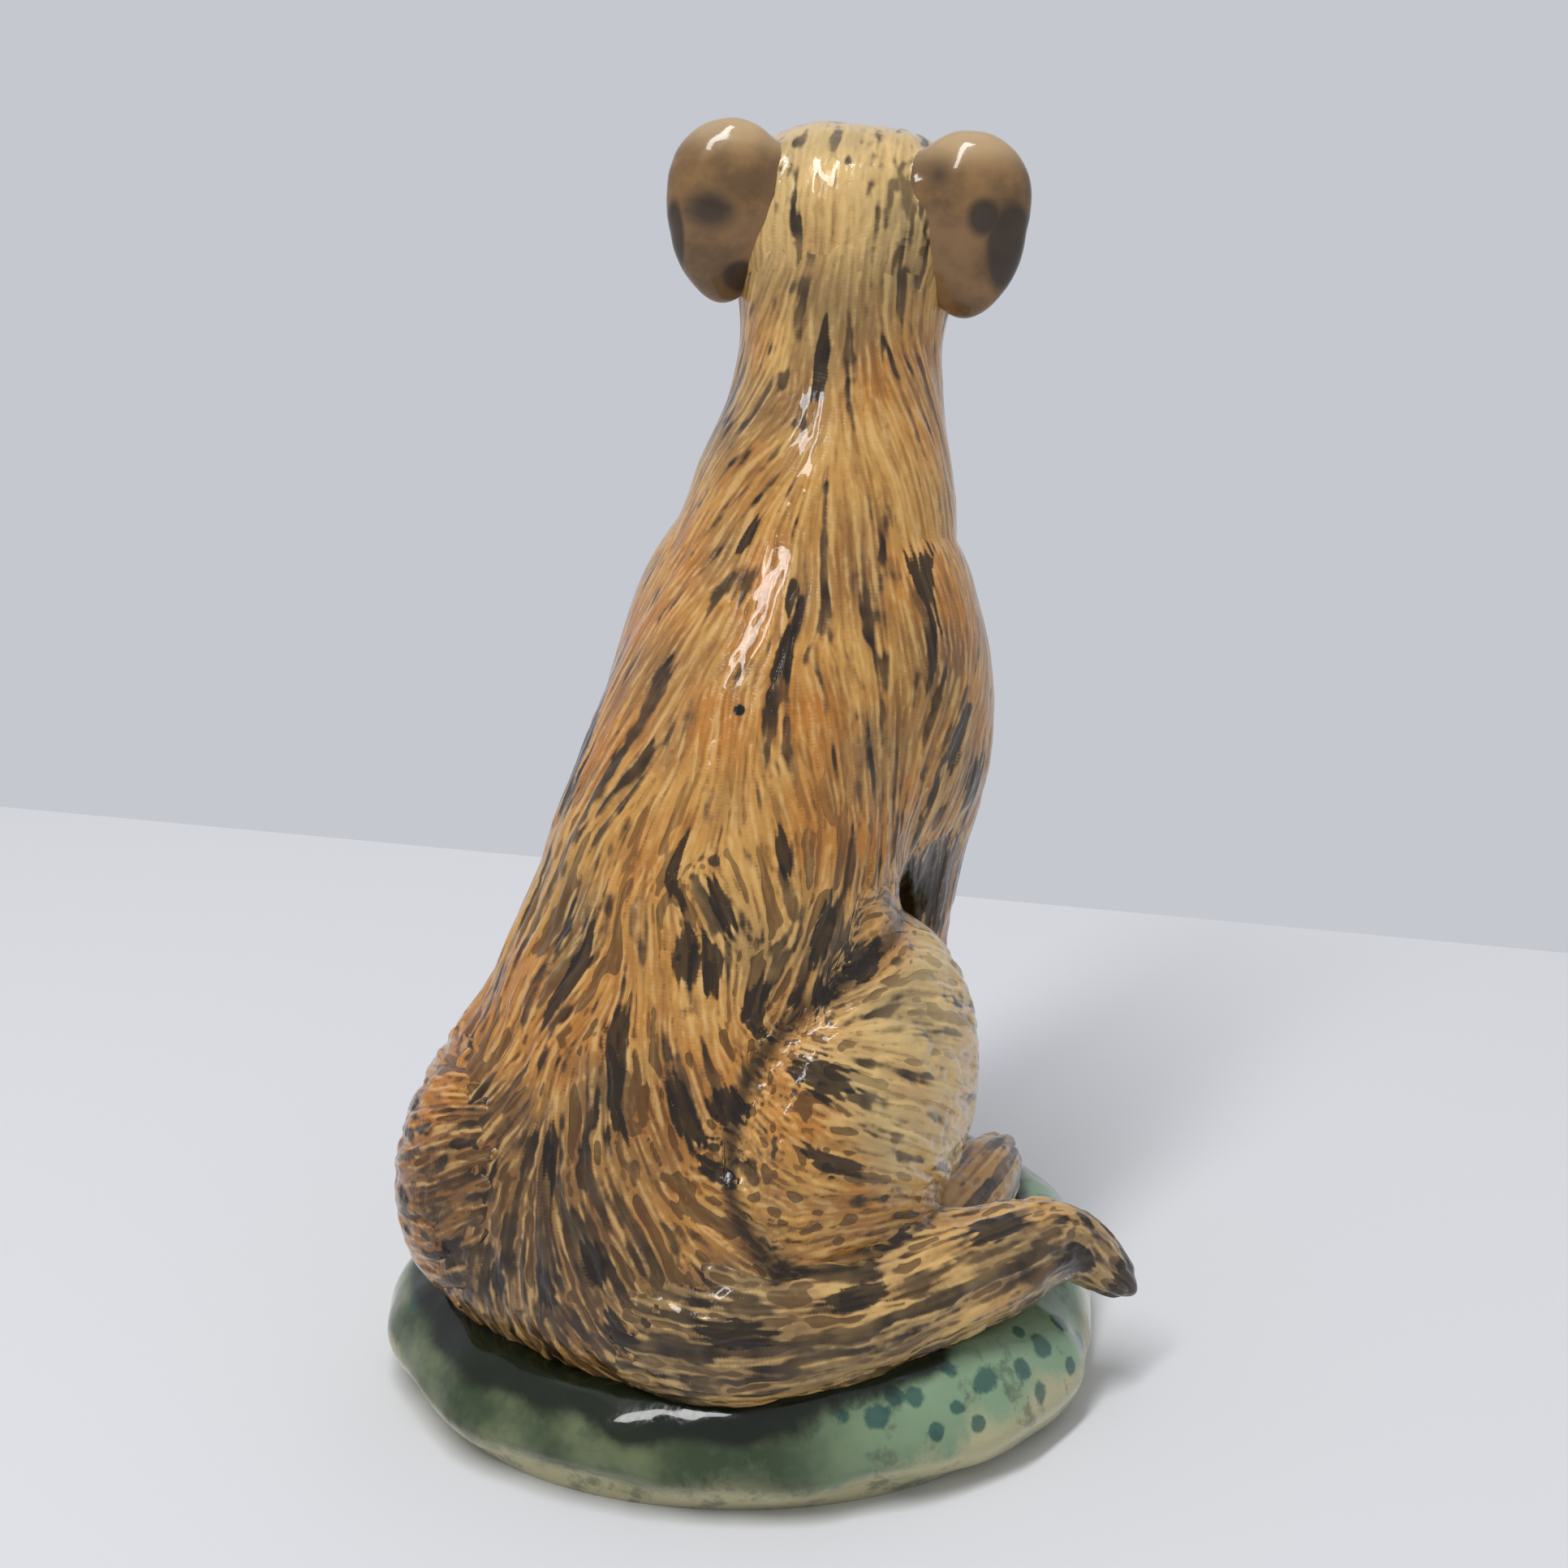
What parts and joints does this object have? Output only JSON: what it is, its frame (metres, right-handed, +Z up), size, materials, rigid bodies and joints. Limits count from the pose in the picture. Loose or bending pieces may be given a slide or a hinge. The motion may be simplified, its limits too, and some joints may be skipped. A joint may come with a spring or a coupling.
{
  "type": "ceramic dog sculpture",
  "caption": "Hand-built glazed ceramic hound sitting upright on a low green mound, scratched brindle coat, drop ears and a tail curled round one thigh; a free-standing ornament.",
  "frame": {"origin": "a point on the flat underside of the mound, in the middle plane of the dog's chest", "axes": "+Z up, -Y the way the dog's chest faces, -X the dog's right side"},
  "size_m": [0.1053, 0.1157, 0.1699],
  "materials": {
    "honey_glaze": "clear gloss glaze over painted slip",
    "pale_glaze": "clear gloss glaze over painted slip",
    "ear_glaze": "clear gloss glaze over painted slip",
    "black_glaze": "clear gloss glaze over painted slip",
    "green_glaze": "clear gloss glaze over painted slip"
  },
  "bodies": {
    "root": {"trunk": "honey_glaze", "neck": "honey_glaze", "skull": "honey_glaze", "muzzle": "honey_glaze", "lower_jaw": "honey_glaze", "tail": "honey_glaze", "left_foreleg": "honey_glaze", "right_foreleg": "honey_glaze", "left_thigh": "pale_glaze", "right_thigh": "pale_glaze", "left_forepaw": "pale_glaze", "right_forepaw": "pale_glaze", "left_hind_foot": "pale_glaze", "right_hind_foot": "pale_glaze", "left_ear": "ear_glaze", "right_ear": "ear_glaze", "nose": "black_glaze", "left_eye": "black_glaze", "right_eye": "black_glaze", "base_mound": "green_glaze"}
  },
  "joints": []
}
